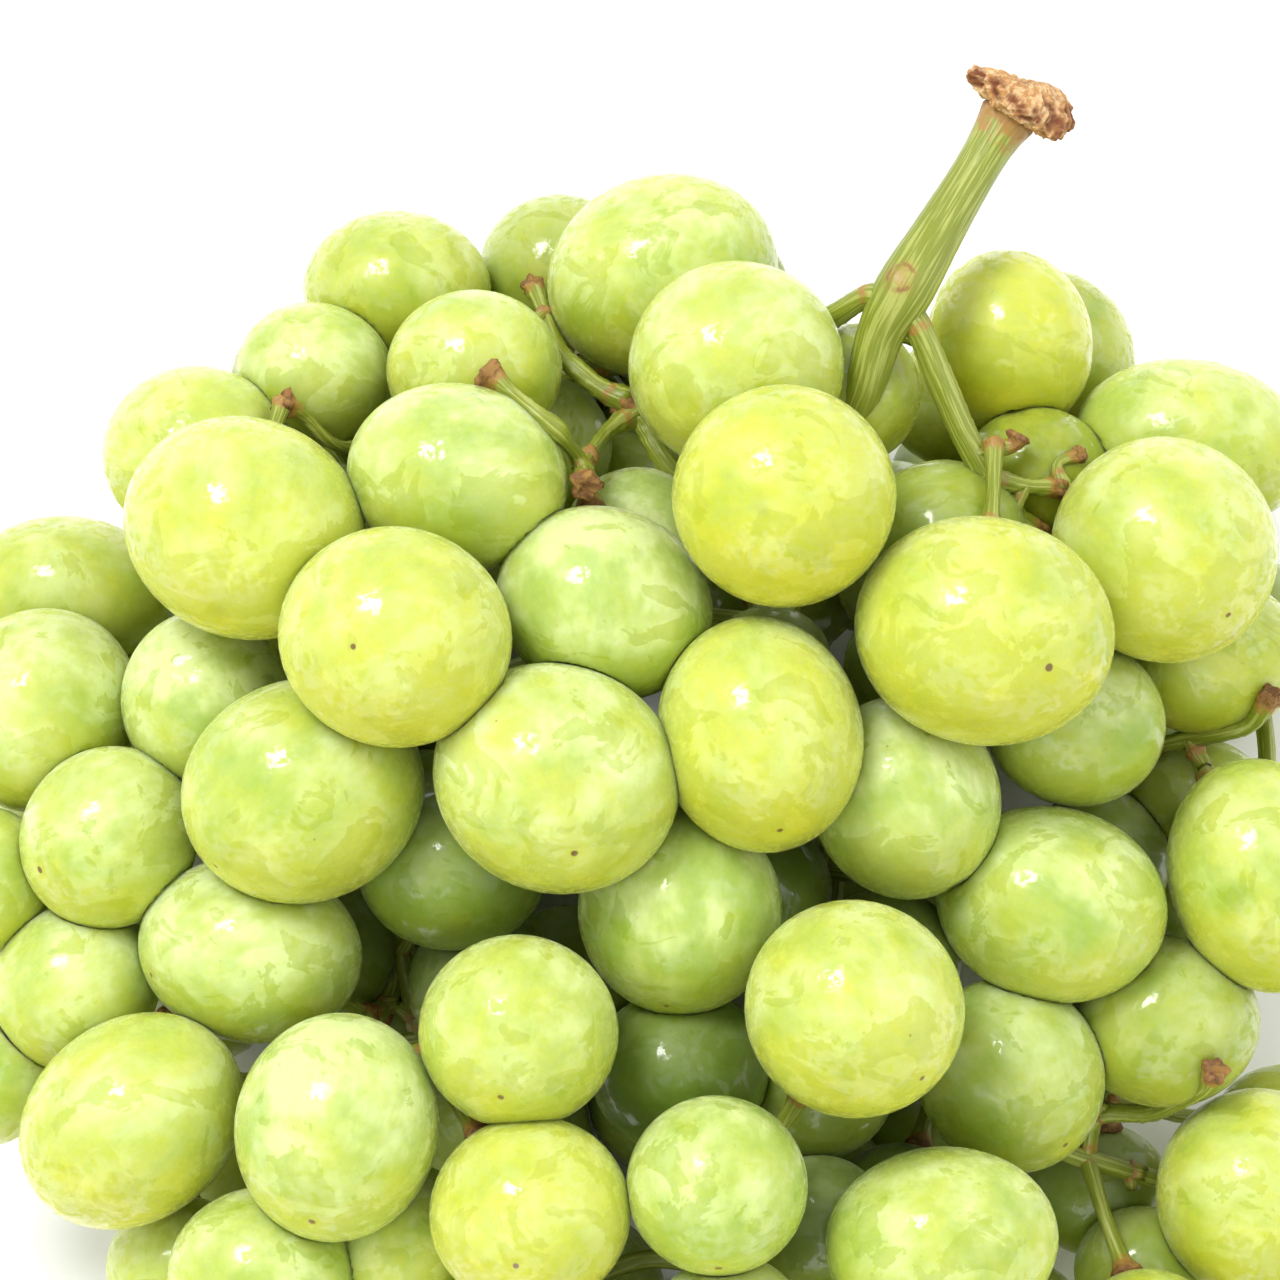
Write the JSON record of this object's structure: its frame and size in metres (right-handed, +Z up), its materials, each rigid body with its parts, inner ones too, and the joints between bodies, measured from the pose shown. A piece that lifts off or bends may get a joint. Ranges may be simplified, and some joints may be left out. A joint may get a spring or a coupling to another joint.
{
  "type": "bunch of grapes",
  "caption": "Wide-shouldered bunch of large green table grapes lying on its side, with its green stem and dried cut end.",
  "frame": {"origin": "middle of the whole bunch's box, on the surface that it lies on", "axes": "+Z up from the surface, +Y along the bunch towards its cut stem, +X across it to the right as seen from above with the stem away"},
  "size_m": [0.1614, 0.1775, 0.0854],
  "materials": {
    "grape_skin": "Translucent pale yellow-green grape skin, glossy where the bloom is rubbed off and a soft whitish green where it is left.",
    "green_stem": "Fresh green grape stem, ridged lengthwise, browned at its nodes and at the ends of the stalks.",
    "dried_stem": "Dried, fibrous brown wood at the cut end of the stem."
  },
  "bodies": {
    "root": {"stem": "green_stem", "stem_cut_end": "dried_stem", "berries_spray_01": "grape_skin", "berries_spray_02": "grape_skin", "berries_spray_03": "grape_skin", "berries_spray_04": "grape_skin", "berries_spray_05": "grape_skin", "berries_spray_06": "grape_skin", "berries_spray_07": "grape_skin", "berries_spray_08": "grape_skin", "berries_spray_09": "grape_skin", "berries_spray_10": "grape_skin", "berries_spray_11": "grape_skin", "berries_spray_12": "grape_skin", "berries_spray_13": "grape_skin", "berries_spray_14": "grape_skin"}
  },
  "joints": []
}
